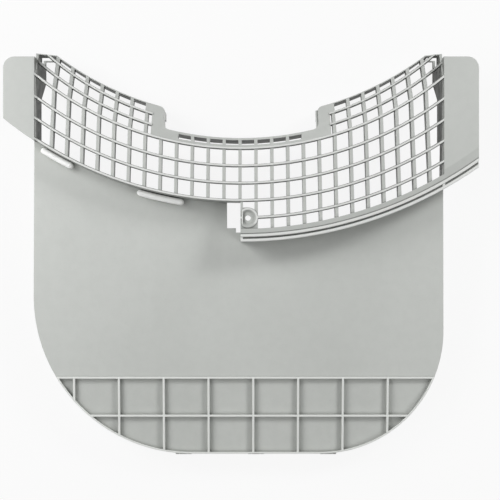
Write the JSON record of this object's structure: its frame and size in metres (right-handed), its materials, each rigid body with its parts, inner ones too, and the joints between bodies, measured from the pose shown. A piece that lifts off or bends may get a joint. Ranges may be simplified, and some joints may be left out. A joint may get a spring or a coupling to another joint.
{
  "type": "dryer lint filter",
  "caption": "Tumble dryer lint filter: a curved grille hood on a flat two-half pouch that opens like a book.",
  "frame": {"origin": "middle of the bounding box's underside, with the filter lying on its back", "axes": "+X along the grille towards the end with the wide band, +Y towards the top of the hood, +Z towards the drum"},
  "size_m": [0.34, 0.295, 0.05],
  "materials": {
    "grey_shell": "fine satin moulding, light grey",
    "grey_frame": "fine satin moulding, light grey",
    "screen_mesh": "fine plain-woven nylon screen"
  },
  "bodies": {
    "screen_half": {"screen_frame": "grey_frame", "fine_mesh": "screen_mesh"},
    "drum_half": {"grille_hood": "grey_shell", "drum_side_plate": "grey_shell"}
  },
  "joints": [
    {"name": "pouch_hinge", "type": "hinge", "parent": "screen_half", "child": "drum_half", "pos_m": [0, -0.1448, 0.007], "axis": [1, 0, 0], "range_deg": [0, 90]}
  ]
}
